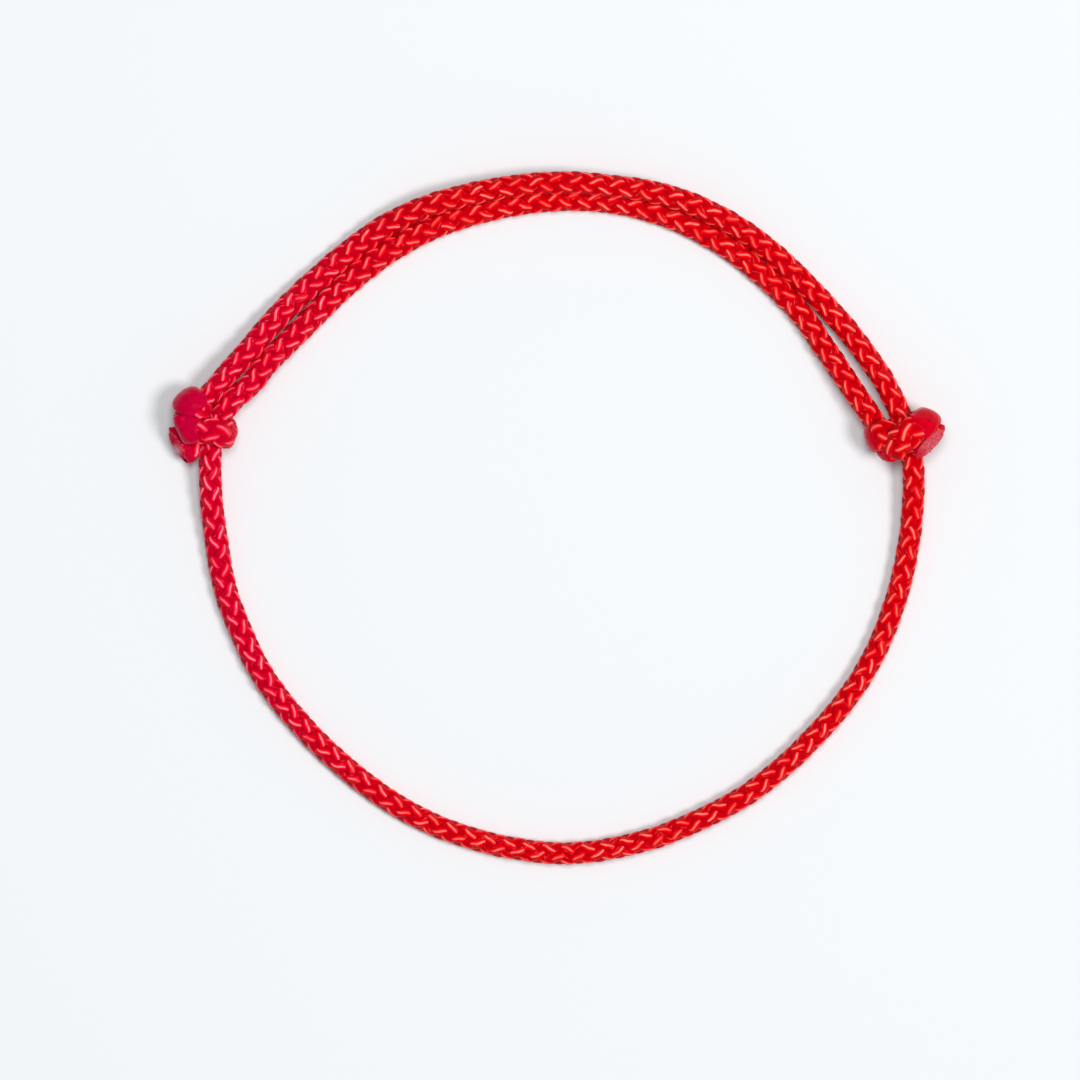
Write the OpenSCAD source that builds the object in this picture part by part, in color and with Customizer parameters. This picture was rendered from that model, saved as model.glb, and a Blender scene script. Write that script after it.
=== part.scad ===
// Rope bracelet: one round braided cord, tied to itself with two sliding overhand knots.
// It lies flat on the ground at z = 0, with the middle of its outline at the origin.
// Millimetres. X runs from the left knot to the right knot, Y over the doubled top, Z up.

/* [Cord] */
// Diameter of the braided cord
cord_d = 2.1; // [2.0:0.05:2.15]
// Flat sides of a strand, one of them facing down
strand_sides = 8; // [8:4:12]
// Flat sides of the cord where it is tied
knot_sides = 12; // [8:4:16]
// Gap between two pieces that meet
seam_gap = 0.1; // [0.05:0.05:0.15]

/* [Sealed ends] */
// Thickness of the melted face on each cut end
seal_t = 0.45; // [0.3:0.05:0.6]
// Width and height of the left face
left_seal_w = 3.7; // [3.2:0.1:4.0]
left_seal_h = 1.9; // [1.6:0.1:2.0]
// Width and height of the right face
right_seal_w = 4.3; // [3.6:0.1:4.4]
right_seal_h = 1.9; // [1.6:0.1:2.0]
// The way the left face looks, in degrees from +X towards +Y, and how far it looks upwards
left_turn = 210; // [205:1:215]
left_tilt = 28; // [20:1:35]
// The same for the right face
right_turn = 316; // [312:1:320]
right_tilt = 40; // [35:1:45]

/* [Hidden] */

cord_red = "#d60a1e";
melted_red = "#b8204a";

// Columns of a strand's route: x, y and lift, the height of the cord's underside above the ground.
x_col = 0;
y_col = 1;
lift_col = 2;
// Further columns of a knot's route: the flattened cord's wide side, and the way that side points,
// counted from +X towards +Y, in degrees.
wide_col = 3;
turn_col = 4;

// The single stretch, from the left knot along the lower arc to the right knot
lower_route = [
    [-34.1, 7.95, 1.5], [-34.3, 7.2, 1.5], [-34.4, 5.9, 1.4], [-34.4, 3.6, 1.1], [-34.2, 0.6, 0.6],
    [-33.8, -2.4, 0.2], [-33.0, -7.0, 0], [-31.4, -11.4, 0], [-29.3, -15.6, 0], [-26.6, -19.3, 0],
    [-23.5, -22.7, 0], [-20.1, -25.7, 0], [-16.4, -28.4, 0], [-12.4, -30.6, 0], [-8.0, -32.2, 0],
    [-3.5, -33.2, 0], [1.2, -33.6, 0], [5.8, -33.1, 0], [10.4, -31.9, 0], [14.7, -30.1, 0],
    [18.9, -27.9, 0], [22.6, -25.1, 0], [26.0, -21.8, 0], [29.1, -18.2, 0], [31.7, -14.1, 0],
    [33.6, -9.6, 0], [34.9, -4.9, 0.1], [35.6, -0.5, 0.5], [35.8, 3.2, 1.0], [35.7, 5.2, 1.3],
    [35.5, 6.5, 1.5], [35.3, 7.4, 1.5]];

// The outer of the two stretches over the top, from the right knot to the left knot. It rides up on
// the inner stretch about the middle of its way.
outer_route = [
    [35.3, 7.4, 1.5], [35.1, 8.3, 1.5], [34.4, 10.3, 1.5], [33.5, 12.3, 1.3], [32.3, 14.4, 1.1],
    [29.4, 18.4, 0.6], [26.2, 22.0, 0.3], [22.8, 25.4, 0.3], [19.2, 28.3, 0.65], [14.9, 30.7, 1.2],
    [10.45, 32.25, 1.35], [5.8, 33.0, 1.6], [1.2, 33.35, 1.5], [-3.5, 33.05, 1.4], [-8.05, 32.3, 1.25],
    [-12.6, 31.05, 1.2], [-16.75, 29.15, 0.5], [-20.6, 26.45, 0], [-24.25, 23.35, 0.1],
    [-27.65, 20.05, 0.5], [-30.75, 16.4, 1.1], [-32.4, 14.6, 1.4], [-32.9, 14.0, 1.5]];

// The inner of the two stretches, from the left knot to the right knot
inner_route = [
    [-34.1, 7.95, 1.5], [-33.9, 8.7, 1.5], [-33.2, 10.2, 1.5], [-32.1, 11.7, 1.4], [-30.35, 13.25, 1.1],
    [-28.7, 15.35, 0.8], [-25.6, 18.55, 0.3], [-22.5, 21.7, 0], [-19.2, 24.6, 0], [-15.7, 27.1, 0],
    [-11.8, 29.1, 0], [-7.6, 30.45, 0], [-3.3, 31.35, 0], [1.1, 31.75, 0], [5.6, 31.5, 0],
    [9.9, 30.5, 0], [14.0, 28.8, 0], [17.9, 26.5, 0], [21.3, 23.7, 0], [24.4, 20.5, 0],
    [27.0, 16.8, 0.3], [29.4, 13.2, 0.9], [30.8, 11.1, 1.3], [31.2, 10.5, 1.4]];

// The left knot: the outer stretch goes round the inner one and tucks its end under itself.
left_knot_route = [
    [-32.9, 14.0, 1.5, 2.1, 138], [-33.5, 13.3, 1.6, 2.1, 138], [-34.9, 11.8, 1.6, 2.1, 138],
    [-36.2, 10.5, 1.9, 2.3, 135], [-36.9, 9.4, 2.6, 2.7, 120], [-36.9, 8.8, 3.4, 2.9, 113],
    [-36.0, 8.7, 3.7, 2.7, 102], [-34.8, 8.6, 3.8, 2.5, 90], [-33.5, 8.4, 3.6, 2.6, 84],
    [-32.7, 8.2, 2.8, 2.7, 82], [-32.6, 8.3, 1.5, 2.7, 75], [-33.3, 8.9, 0.3, 2.6, 60],
    [-34.5, 9.9, 0, 2.7, 50], [-35.7, 10.8, 0, 2.8, 45], [-36.6, 11.6, 0.7, 3.0, 40],
    [-36.9, 11.9, 2.0, 3.0, 40], [-36.6, 11.6, 3.2, 3.0, 40], [-35.9, 10.9, 3.6, 2.9, 38],
    [-35.3, 10.0, 2.9, 2.4, 30], [-35.3, 9.0, 2.0, 2.2, 10], [-35.7, 7.9, 1.7, 2.9, -32],
    [-36.5, 7.35, 1.6, 3.5, -52], [-37.5, 7.2, 1.7, 3.5, -60]];

// The right knot: the inner stretch goes round the outer one and over it to its end.
right_knot_route = [
    [31.2, 10.5, 1.4, 2.1, 34], [31.6, 9.9, 1.5, 2.1, 34], [32.3, 8.7, 1.6, 2.2, 32],
    [32.7, 7.6, 1.9, 2.3, 40], [33.2, 6.8, 2.7, 2.4, 70], [33.8, 7.0, 4.0, 2.7, 110],
    [34.6, 7.8, 4.7, 2.8, 135], [35.6, 8.6, 4.7, 2.8, 142], [36.5, 9.2, 4.2, 2.8, 150],
    [37.1, 9.8, 3.2, 2.7, 154], [37.2, 9.9, 1.8, 2.7, 150], [36.7, 9.5, 0.5, 2.7, 140],
    [35.6, 9.0, 0, 2.7, 120], [34.1, 8.5, 0, 2.7, 105], [32.7, 8.1, 0.2, 2.8, 100],
    [31.8, 7.9, 1.1, 2.9, 104], [31.7, 7.9, 2.4, 3.0, 104], [32.4, 8.2, 3.4, 2.9, 98],
    [33.6, 8.2, 3.4, 2.6, 85], [34.8, 7.9, 3.2, 2.5, 78], [35.8, 7.7, 3.1, 2.8, 70],
    [36.6, 7.6, 3.3, 3.3, 60], [37.2, 7.4, 3.6, 3.6, 52]];

// Rows of each strand that lie in a knot or beside it
core_rows = 6;
// How far the cord of a knot runs on past its cut face before it is cut
cut_reach = 1.5;
// Room beside the cut face, and above and below it, that is cleared with the cut-off end
cut_beside = 1;
cut_above = 0.5;
// The melted face narrows a little towards its outer side.
seal_taper = 0.85;
seal_sides = 16;

function unit(v) = v / norm(v);

function last(list) = list[len(list) - 1];

function reversed(list) = [for (i = [len(list) - 1:-1:0]) list[i]];

function first_rows(route, count) = [for (i = [0:count - 1]) route[i]];

// Two routes joined, the second one starting in the first one's last row
function joined(route, next) = concat(route, [for (i = [1:len(next) - 1]) next[i]]);

// The flattened cord keeps the area of the round one, so a wide stretch is thin.
function thickness(wide) = cord_d * cord_d / wide;

// The middle of the cord at a row of a strand's route
function strand_middle(row) = [row[x_col], row[y_col], row[lift_col] + cord_d / 2];

// The middle of the flattened cord at a row of a knot's route
function knot_middle(row) = [row[x_col], row[y_col], row[lift_col] + thickness(row[wide_col]) / 2];

// The way that the cord runs at one point of its path
function heading(path, i) = unit(path[min(i + 1, len(path) - 1)] - path[max(i - 1, 0)]);

// A path with its first point moved on along the cord by half a gap
function later_start(path) =
    [for (i = [0:len(path) - 1]) i == 0 ? path[0] + seam_gap / 2 * heading(path, 0) : path[i]];

// The corners of one section across the cord. Its flats lie wide / 2 and thick / 2 from the middle.
function section(middle, along, wide_way, wide, thick, sides) =
    let (
        side = unit(wide_way - (wide_way * along) * along),
        up = cross(along, side),
        out = 0.5 / cos(180 / sides))
    [for (k = [0:sides - 1])
        let (a = 360 * (k + 0.5) / sides)
        middle + out * wide * cos(a) * side + out * thick * sin(a) * up];

// The sections of a round strand
function strand_sections(path, d) =
    [for (i = [0:len(path) - 1])
        let (along = heading(path, i))
        section(path[i], along, [-along.y, along.x, 0], d, d, strand_sides)];

// The sections of a knot's flattened cord, and one more past its cut face
function knot_sections(route) =
    let (
        path = later_start([for (row = route) knot_middle(row)]),
        rings = [for (i = [0:len(path) - 1])
            let (wide = route[i][wide_col], turn = route[i][turn_col])
            section(path[i], heading(path, i), [cos(turn), sin(turn), 0], wide, thickness(wide), knot_sides)],
        run_on = cut_reach * heading(path, len(path) - 1))
    concat(rings, [[for (corner = last(rings)) corner + run_on]]);

// A closed solid through sections with the same number of corners
module loft(sections) {
    sides = len(sections[0]);
    walls = [for (i = [0:len(sections) - 2], k = [0:sides - 1])
        let (near = i * sides, far = near + sides, next = (k + 1) % sides)
        [near + k, far + k, far + next, near + next]];
    first_cap = [for (k = [0:sides - 1]) k];
    last_cap = [for (k = [sides - 1:-1:0]) (len(sections) - 1) * sides + k];
    polyhedron([for (s = sections) each s], concat([first_cap], walls, [last_cap]), convexity = 10);
}

module strand(route) {
    path = later_start([for (row = route) strand_middle(row)]);
    color(cord_red) loft(strand_sections(reversed(later_start(reversed(path))), cord_d));
}

// The room that the cord through a knot takes up, with the gap round it: the near rows of two strands
// whose routes start at the same point
module core_room(route, next) {
    rows = joined(reversed(first_rows(route, core_rows)), first_rows(next, core_rows));
    loft(strand_sections([for (row = rows) strand_middle(row)], cord_d + 2 * seam_gap));
}

// A slice that looks along a cut face: two oval sections, the first one back by some length
module face_slice(route, turn, tilt, back, w, h, t, far_scale) {
    out = [cos(turn) * cos(tilt), sin(turn) * cos(tilt), sin(tilt)];
    near = knot_middle(last(route)) - back * out;
    across = [-sin(turn), cos(turn), 0];
    loft([
        section(near, out, across, w, h, seal_sides),
        section(near + t * out, out, across, w * far_scale, h * far_scale, seal_sides)]);
}

// A knot: the flattened cord from section to section, less its end past the cut and the room of the
// cord that is its child
module knot(route, turn, tilt, w, h) {
    sections = knot_sections(route);
    color(cord_red) difference() {
        union()
            for (i = [0:len(sections) - 2])
                hull() loft([sections[i], sections[i + 1]]);
        children();
        face_slice(route, turn, tilt, seam_gap, w + 2 * cut_beside, h + 2 * cut_above, 2 * cut_reach, 1);
    }
}

// The melted face on the cut end of a knot's cord
module sealed_end(route, turn, tilt, w, h) {
    color(melted_red) face_slice(route, turn, tilt, 0, w, h, seal_t, seal_taper);
}

module lower_strand() strand(lower_route);

module outer_strand() strand(outer_route);

module inner_strand() strand(inner_route);

module left_knot()
    knot(left_knot_route, left_turn, left_tilt, left_seal_w, left_seal_h)
        core_room(inner_route, lower_route);

module right_knot()
    knot(right_knot_route, right_turn, right_tilt, right_seal_w, right_seal_h)
        core_room(reversed(lower_route), outer_route);

module left_sealed_end() sealed_end(left_knot_route, left_turn, left_tilt, left_seal_w, left_seal_h);

module right_sealed_end() sealed_end(right_knot_route, right_turn, right_tilt, right_seal_w, right_seal_h);

lower_strand();
outer_strand();
inner_strand();
left_knot();
right_knot();
left_sealed_end();
right_sealed_end();
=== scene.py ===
"""Looks of the rope bracelet: one red braided cord, tied to itself with two sliding knots."""

import logging
import math
from dataclasses import dataclass, field
from enum import Enum
from typing import Mapping, Sequence, Tuple, Union

import bpy
import numpy as np
from mathutils import Matrix, Vector


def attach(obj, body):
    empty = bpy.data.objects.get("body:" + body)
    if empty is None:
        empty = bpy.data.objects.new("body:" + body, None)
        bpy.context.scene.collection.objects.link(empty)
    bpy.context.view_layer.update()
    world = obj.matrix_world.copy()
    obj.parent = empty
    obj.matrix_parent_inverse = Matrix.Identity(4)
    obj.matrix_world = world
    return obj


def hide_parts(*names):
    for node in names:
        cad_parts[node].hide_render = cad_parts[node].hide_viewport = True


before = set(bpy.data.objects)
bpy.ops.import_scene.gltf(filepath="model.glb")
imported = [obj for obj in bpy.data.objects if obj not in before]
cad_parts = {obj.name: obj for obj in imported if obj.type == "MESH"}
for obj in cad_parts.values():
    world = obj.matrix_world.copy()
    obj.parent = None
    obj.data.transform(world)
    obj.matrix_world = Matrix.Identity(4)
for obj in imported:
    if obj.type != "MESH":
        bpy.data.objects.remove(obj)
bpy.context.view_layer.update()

log = logging.getLogger("rope_bracelet")

Row = Tuple[float, ...]
Route = Tuple[Row, ...]
SocketValue = Union[float, int, Sequence[float], bpy.types.NodeSocket]

MM = 0.001
ROOT = "root"
# Lengths along the cord that are closer than this are one place, in millimetres
SAME_PLACE = 0.01
# So far from any float, in millimetres, that the materials show none
OFF_FLOAT = 9.0
# A noise texture stays mostly between these values
NOISE_LOW = 0.3
NOISE_HIGH = 0.7
# How deep light goes into melted red nylon, in millimetres, and the share of that for each primary
NYLON_DEPTH_MM = 0.8
NYLON_DEPTHS = (1.0, 0.12, 0.2)

# The cord's diameter when it isn't squeezed, in millimetres
CORD_D = 2.1

# How wide the strands' cord lies where the loop is slackest and opposite, in millimetres, and the way
# to the slackest place, in degrees from +X towards +Y
FULL_WIDE = 2.3
LEAST_WIDE = 2.07
SLACK_WAY = 130.0
# The cord is rounder where it rides on another: by this share, at the lift of one cord and more
RIDING_LIFT = 1.5
RIDING_ROUND = 0.6

# Routes of the cord in millimetres, as the part's source has them. A row is x, y and lift, the height
# of the cord's underside above the ground. A knot's row goes on with the flattened cord's wide side
# and the way that side points, in degrees from +X towards +Y.
LOWER_ROUTE: Route = (
    (-34.1, 7.95, 1.5), (-34.3, 7.2, 1.5), (-34.4, 5.9, 1.4), (-34.4, 3.6, 1.1), (-34.2, 0.6, 0.6),
    (-33.8, -2.4, 0.2), (-33.0, -7.0, 0), (-31.4, -11.4, 0), (-29.3, -15.6, 0), (-26.6, -19.3, 0),
    (-23.5, -22.7, 0), (-20.1, -25.7, 0), (-16.4, -28.4, 0), (-12.4, -30.6, 0), (-8.0, -32.2, 0),
    (-3.5, -33.2, 0), (1.2, -33.6, 0), (5.8, -33.1, 0), (10.4, -31.9, 0), (14.7, -30.1, 0),
    (18.9, -27.9, 0), (22.6, -25.1, 0), (26.0, -21.8, 0), (29.1, -18.2, 0), (31.7, -14.1, 0),
    (33.6, -9.6, 0), (34.9, -4.9, 0.1), (35.6, -0.5, 0.5), (35.8, 3.2, 1.0), (35.7, 5.2, 1.3),
    (35.5, 6.5, 1.5), (35.3, 7.4, 1.5))

OUTER_ROUTE: Route = (
    (35.3, 7.4, 1.5), (35.1, 8.3, 1.5), (34.4, 10.3, 1.5), (33.5, 12.3, 1.3), (32.3, 14.4, 1.1),
    (29.4, 18.4, 0.6), (26.2, 22.0, 0.3), (22.8, 25.4, 0.3), (19.2, 28.3, 0.65), (14.9, 30.7, 1.2),
    (10.45, 32.25, 1.35), (5.8, 33.0, 1.6), (1.2, 33.35, 1.5), (-3.5, 33.05, 1.4), (-8.05, 32.3, 1.25),
    (-12.6, 31.05, 1.2), (-16.75, 29.15, 0.5), (-20.6, 26.45, 0), (-24.25, 23.35, 0.1),
    (-27.65, 20.05, 0.5), (-30.75, 16.4, 1.1), (-32.4, 14.6, 1.4), (-32.9, 14.0, 1.5))

INNER_ROUTE: Route = (
    (-34.1, 7.95, 1.5), (-33.9, 8.7, 1.5), (-33.2, 10.2, 1.5), (-32.1, 11.7, 1.4), (-30.35, 13.25, 1.1),
    (-28.7, 15.35, 0.8), (-25.6, 18.55, 0.3), (-22.5, 21.7, 0), (-19.2, 24.6, 0), (-15.7, 27.1, 0),
    (-11.8, 29.1, 0), (-7.6, 30.45, 0), (-3.3, 31.35, 0), (1.1, 31.75, 0), (5.6, 31.5, 0),
    (9.9, 30.5, 0), (14.0, 28.8, 0), (17.9, 26.5, 0), (21.3, 23.7, 0), (24.4, 20.5, 0),
    (27.0, 16.8, 0.3), (29.4, 13.2, 0.9), (30.8, 11.1, 1.3), (31.2, 10.5, 1.4))

LEFT_KNOT_ROUTE: Route = (
    (-32.9, 14.0, 1.5, 2.1, 138), (-33.5, 13.3, 1.6, 2.1, 138), (-34.9, 11.8, 1.6, 2.1, 138),
    (-36.2, 10.5, 1.9, 2.3, 135), (-36.9, 9.4, 2.6, 2.7, 120), (-36.9, 8.8, 3.4, 2.9, 113),
    (-36.0, 8.7, 3.7, 2.7, 102), (-34.8, 8.6, 3.8, 2.5, 90), (-33.5, 8.4, 3.6, 2.6, 84),
    (-32.7, 8.2, 2.8, 2.7, 82), (-32.6, 8.3, 1.5, 2.7, 75), (-33.3, 8.9, 0.3, 2.6, 60),
    (-34.5, 9.9, 0, 2.7, 50), (-35.7, 10.8, 0, 2.8, 45), (-36.6, 11.6, 0.7, 3.0, 40),
    (-36.9, 11.9, 2.0, 3.0, 40), (-36.6, 11.6, 3.2, 3.0, 40), (-35.9, 10.9, 3.6, 2.9, 38),
    (-35.3, 10.0, 2.9, 2.4, 30), (-35.3, 9.0, 2.0, 2.2, 10), (-35.7, 7.9, 1.7, 2.9, -32),
    (-36.5, 7.35, 1.6, 3.5, -52), (-37.5, 7.2, 1.7, 3.5, -60))

RIGHT_KNOT_ROUTE: Route = (
    (31.2, 10.5, 1.4, 2.1, 34), (31.6, 9.9, 1.5, 2.1, 34), (32.3, 8.7, 1.6, 2.2, 32),
    (32.7, 7.6, 1.9, 2.3, 40), (33.2, 6.8, 2.7, 2.4, 70), (33.8, 7.0, 4.0, 2.7, 110),
    (34.6, 7.8, 4.7, 2.8, 135), (35.6, 8.6, 4.7, 2.8, 142), (36.5, 9.2, 4.2, 2.8, 150),
    (37.1, 9.8, 3.2, 2.7, 154), (37.2, 9.9, 1.8, 2.7, 150), (36.7, 9.5, 0.5, 2.7, 140),
    (35.6, 9.0, 0, 2.7, 120), (34.1, 8.5, 0, 2.7, 105), (32.7, 8.1, 0.2, 2.8, 100),
    (31.8, 7.9, 1.1, 2.9, 104), (31.7, 7.9, 2.4, 3.0, 104), (32.4, 8.2, 3.4, 2.9, 98),
    (33.6, 8.2, 3.4, 2.6, 85), (34.8, 7.9, 3.2, 2.5, 78), (35.8, 7.7, 3.1, 2.8, 70),
    (36.6, 7.6, 3.3, 3.3, 60), (37.2, 7.4, 3.6, 3.6, 52))


class YarnTurn(Enum):
    """The way that a yarn winds round the cord."""

    RIGHT_HAND = 1
    LEFT_HAND = -1


class Side(Enum):
    """A knot's side of the bracelet."""

    LEFT = "left"
    RIGHT = "right"


def linear_colour(hex_code: str) -> Tuple[float, float, float, float]:
    """Turn an sRGB hex colour into Blender's linear colour.

    Args:
        hex_code: Six hex digits, with or without a leading hash.

    Returns:
        Linear red, green and blue, and an alpha of 1.
    """
    digits = hex_code.lstrip("#")
    parts = [int(digits[i:i + 2], 16) / 255 for i in (0, 2, 4)]
    red, green, blue = (p / 12.92 if p <= 0.04045 else ((p + 0.055) / 1.055) ** 2.4 for p in parts)
    return (red, green, blue, 1.0)


def add_node(tree: bpy.types.NodeTree, kind: str, inputs: Mapping[Union[str, int], SocketValue],
             **settings: object) -> bpy.types.Node:
    """Add one shader node with its settings, values and links.

    Args:
        tree: The material's node tree.
        kind: Blender's name for the kind of node.
        inputs: For each input, the value it holds or the output socket that feeds it.
        **settings: The node's own settings.

    Returns:
        The new node.
    """
    node = tree.nodes.new(kind)
    for name, value in settings.items():
        setattr(node, name, value)
    for key, value in inputs.items():
        if isinstance(value, bpy.types.NodeSocket):
            tree.links.new(value, node.inputs[key])
        else:
            node.inputs[key].default_value = value
    return node


def new_material(name: str) -> Tuple[bpy.types.Material, bpy.types.NodeTree]:
    """Make an empty node material.

    Args:
        name: The material's name.

    Returns:
        The material and its cleared node tree.
    """
    material = bpy.data.materials.new(name)
    material.use_nodes = True
    material.node_tree.nodes.clear()
    return material, material.node_tree


@dataclass(frozen=True)
class BraidedNylon:
    """Glossy multifilament nylon, dyed red and braided, with painted light in its colour.

    Painted highlights make pale glints and a red glow on each float, and painted shade darkens the
    creases.

    The IOR is below solid nylon's 1.53, matched so that the cord's edges stay red, here and on the ends.
    """

    name: str = "braided_nylon"
    cool_until_mm: float = -36.0
    warm_from_mm: float = -8.0
    crimson: str = "#bd0024"
    scarlet: str = "#bf000e"
    # Painted shade: the colour of the creases between the yarns
    crease_shade: str = "#b0000e"
    # Painted highlights: a broad red glow and a narrow pale glint, cooler on the left and warmer on the
    # right
    painted_glow_cool: str = "#f8062c"
    painted_glow_warm: str = "#fa0a0c"
    painted_glint_cool: str = "#ff90a2"
    painted_glint_warm: str = "#ff8e80"
    gloss: str = "#ff1c26"
    roughness: float = 0.38
    ior: float = 1.4
    yarn_round_mm: float = 2.6
    filament_mm: float = 0.11
    streaks_per_mm: float = 1.3
    streak_values: Tuple[float, float] = (0.8, 1.12)
    # Where the painted crease shade gives way to the dye, as a share of the cord's radius
    crease_shade_rises: Tuple[float, float] = (0.74, 0.98)
    # Sizes of the painted glow and glint across and along a float, in millimetres, and the glint's
    # strengths
    glow_wide_mm: Tuple[float, float] = (0.42, 0.05)
    glow_long_mm: Tuple[float, float] = (0.95, 0.3)
    glint_wide_mm: Tuple[float, float] = (0.15, 0.02)
    glint_long_mm: Tuple[float, float] = (0.66, 0.3)
    glint_strengths: Tuple[float, float] = (0.5, 1.15)
    # Where the painted glint breaks up, and where a stray painted highlight shows, with its strength
    broken_at: Tuple[float, float] = (0.36, 0.58)
    broken_strength: float = 0.45
    stray_at: Tuple[float, float] = (0.62, 0.74)
    stray_strength: float = 0.3
    bump_mm: float = 0.05

    def make(self) -> bpy.types.Material:
        """Make the material.

        Returns:
            The finished material.
        """
        material, tree = new_material(self.name)
        place = add_node(tree, "ShaderNodeTexCoord", {})
        axes = add_node(tree, "ShaderNodeSeparateXYZ", {0: place.outputs["Object"]})
        # The dye reads cooler on the left of the loop and warmer on the right.
        across = add_node(tree, "ShaderNodeMapRange", {
            "Value": axes.outputs["X"], "From Min": self.cool_until_mm * MM,
            "From Max": self.warm_from_mm * MM}, interpolation_type="SMOOTHSTEP")
        dye = add_node(tree, "ShaderNodeMix", {
            0: across.outputs[0], 6: linear_colour(self.crimson), 7: linear_colour(self.scarlet)},
            data_type="RGBA")
        painted_glow = add_node(tree, "ShaderNodeMix", {
            0: across.outputs[0], 6: linear_colour(self.painted_glow_cool), 7: linear_colour(self.painted_glow_warm)},
            data_type="RGBA")
        painted_glint = add_node(tree, "ShaderNodeMix", {
            0: across.outputs[0], 6: linear_colour(self.painted_glint_cool), 7: linear_colour(self.painted_glint_warm)},
            data_type="RGBA")
        # Filaments of about 25 micrometres are too fine to show, so they are drawn in bundles four times
        # as wide, two of them to each unit of the noise.
        weave = add_node(tree, "ShaderNodeUVMap", {}, uv_map="yarn")
        bundles = add_node(tree, "ShaderNodeMapping", {
            "Vector": weave.outputs[0],
            "Scale": (self.yarn_round_mm / self.filament_mm / 2, self.streaks_per_mm, 1)})
        filaments = add_node(tree, "ShaderNodeTexNoise", {
            "Vector": bundles.outputs[0], "Scale": 1.0, "Detail": 2.0, "Roughness": 0.6})
        uneven = add_node(tree, "ShaderNodeMapRange", {
            "Value": filaments.outputs["Fac"], "From Min": NOISE_LOW, "From Max": NOISE_HIGH,
            "To Min": self.streak_values[0], "To Max": self.streak_values[1]})
        streaked = add_node(tree, "ShaderNodeHueSaturation", {
            "Color": dye.outputs[2], "Value": uneven.outputs[0]})
        # Painted shade: the colour darkens towards the crease shade where a point lies deep in the
        # braid.
        rise = add_node(tree, "ShaderNodeAttribute", {}, attribute_name="rise")
        depth = add_node(tree, "ShaderNodeMapRange", {
            "Value": rise.outputs["Fac"], "From Min": self.crease_shade_rises[0],
            "From Max": self.crease_shade_rises[1]}, interpolation_type="SMOOTHSTEP")
        crease_shaded = add_node(tree, "ShaderNodeMix", {
            0: depth.outputs[0], 6: linear_colour(self.crease_shade), 7: streaked.outputs[0]},
            data_type="RGBA")
        # Painted highlights along the middle of each float, each float a little differently: a broad
        # painted glow in a red like the dye's, and a narrow pale painted glint within it.
        on_float = add_node(tree, "ShaderNodeAttribute", {}, attribute_name="on_float")
        float_axes = add_node(tree, "ShaderNodeSeparateXYZ", {0: on_float.outputs["Vector"]})
        aside = add_node(tree, "ShaderNodeMath", {0: float_axes.outputs["X"]}, operation="ABSOLUTE")
        off_end = add_node(tree, "ShaderNodeMath", {0: float_axes.outputs["Y"]}, operation="ABSOLUTE")
        thin = add_node(tree, "ShaderNodeMapRange", {
            "Value": aside.outputs[0], "From Min": self.glint_wide_mm[0],
            "From Max": self.glint_wide_mm[1]}, interpolation_type="SMOOTHSTEP")
        short = add_node(tree, "ShaderNodeMapRange", {
            "Value": off_end.outputs[0], "From Min": self.glint_long_mm[0],
            "From Max": self.glint_long_mm[1]}, interpolation_type="SMOOTHSTEP")
        shine = add_node(tree, "ShaderNodeMapRange", {
            "Value": float_axes.outputs["Z"], "To Min": self.glint_strengths[0],
            "To Max": self.glint_strengths[1]})
        broken = add_node(tree, "ShaderNodeMapRange", {
            "Value": filaments.outputs["Fac"], "From Min": self.broken_at[0],
            "From Max": self.broken_at[1], "To Min": self.broken_strength})
        glint = add_node(tree, "ShaderNodeMath", {0: thin.outputs[0], 1: short.outputs[0]},
                         operation="MULTIPLY")
        bright = add_node(tree, "ShaderNodeMath", {0: shine.outputs[0], 1: broken.outputs[0]},
                          operation="MULTIPLY")
        glow = add_node(tree, "ShaderNodeMath", {0: glint.outputs[0], 1: bright.outputs[0]},
                        operation="MULTIPLY", use_clamp=True)
        broad = add_node(tree, "ShaderNodeMapRange", {
            "Value": aside.outputs[0], "From Min": self.glow_wide_mm[0],
            "From Max": self.glow_wide_mm[1]}, interpolation_type="SMOOTHSTEP")
        lengthy = add_node(tree, "ShaderNodeMapRange", {
            "Value": off_end.outputs[0], "From Min": self.glow_long_mm[0],
            "From Max": self.glow_long_mm[1]}, interpolation_type="SMOOTHSTEP")
        halo = add_node(tree, "ShaderNodeMath", {0: broad.outputs[0], 1: lengthy.outputs[0]},
                        operation="MULTIPLY")
        glowing = add_node(tree, "ShaderNodeMix", {
            0: halo.outputs[0], 6: crease_shaded.outputs[2], 7: painted_glow.outputs[2]}, data_type="RGBA")
        # Here and there a single bundle gets a painted highlight beside the main painted glint.
        stray = add_node(tree, "ShaderNodeMapRange", {
            "Value": filaments.outputs["Fac"], "From Min": self.stray_at[0],
            "From Max": self.stray_at[1], "To Max": self.stray_strength})
        shown = add_node(tree, "ShaderNodeMath", {0: stray.outputs[0], 1: depth.outputs[0]},
                         operation="MULTIPLY")
        bright_parts = add_node(tree, "ShaderNodeMath", {0: glow.outputs[0], 1: shown.outputs[0]},
                                operation="MAXIMUM")
        lit = add_node(tree, "ShaderNodeMix", {
            0: bright_parts.outputs[0], 6: glowing.outputs[2], 7: painted_glint.outputs[2]}, data_type="RGBA")
        bump = add_node(tree, "ShaderNodeBump", {
            "Height": filaments.outputs["Fac"], "Strength": 0.5, "Distance": self.bump_mm * MM})
        shader = add_node(tree, "ShaderNodeBsdfPrincipled", {
            "Base Color": lit.outputs[2], "Roughness": self.roughness, "IOR": self.ior,
            "Specular IOR Level": 0.16, "Specular Tint": linear_colour(self.gloss),
            "Sheen Weight": 0.16, "Sheen Roughness": 0.4, "Sheen Tint": linear_colour(self.gloss),
            "Normal": bump.outputs[0]})
        add_node(tree, "ShaderNodeOutputMaterial", {"Surface": shader.outputs[0]})
        return material


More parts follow.
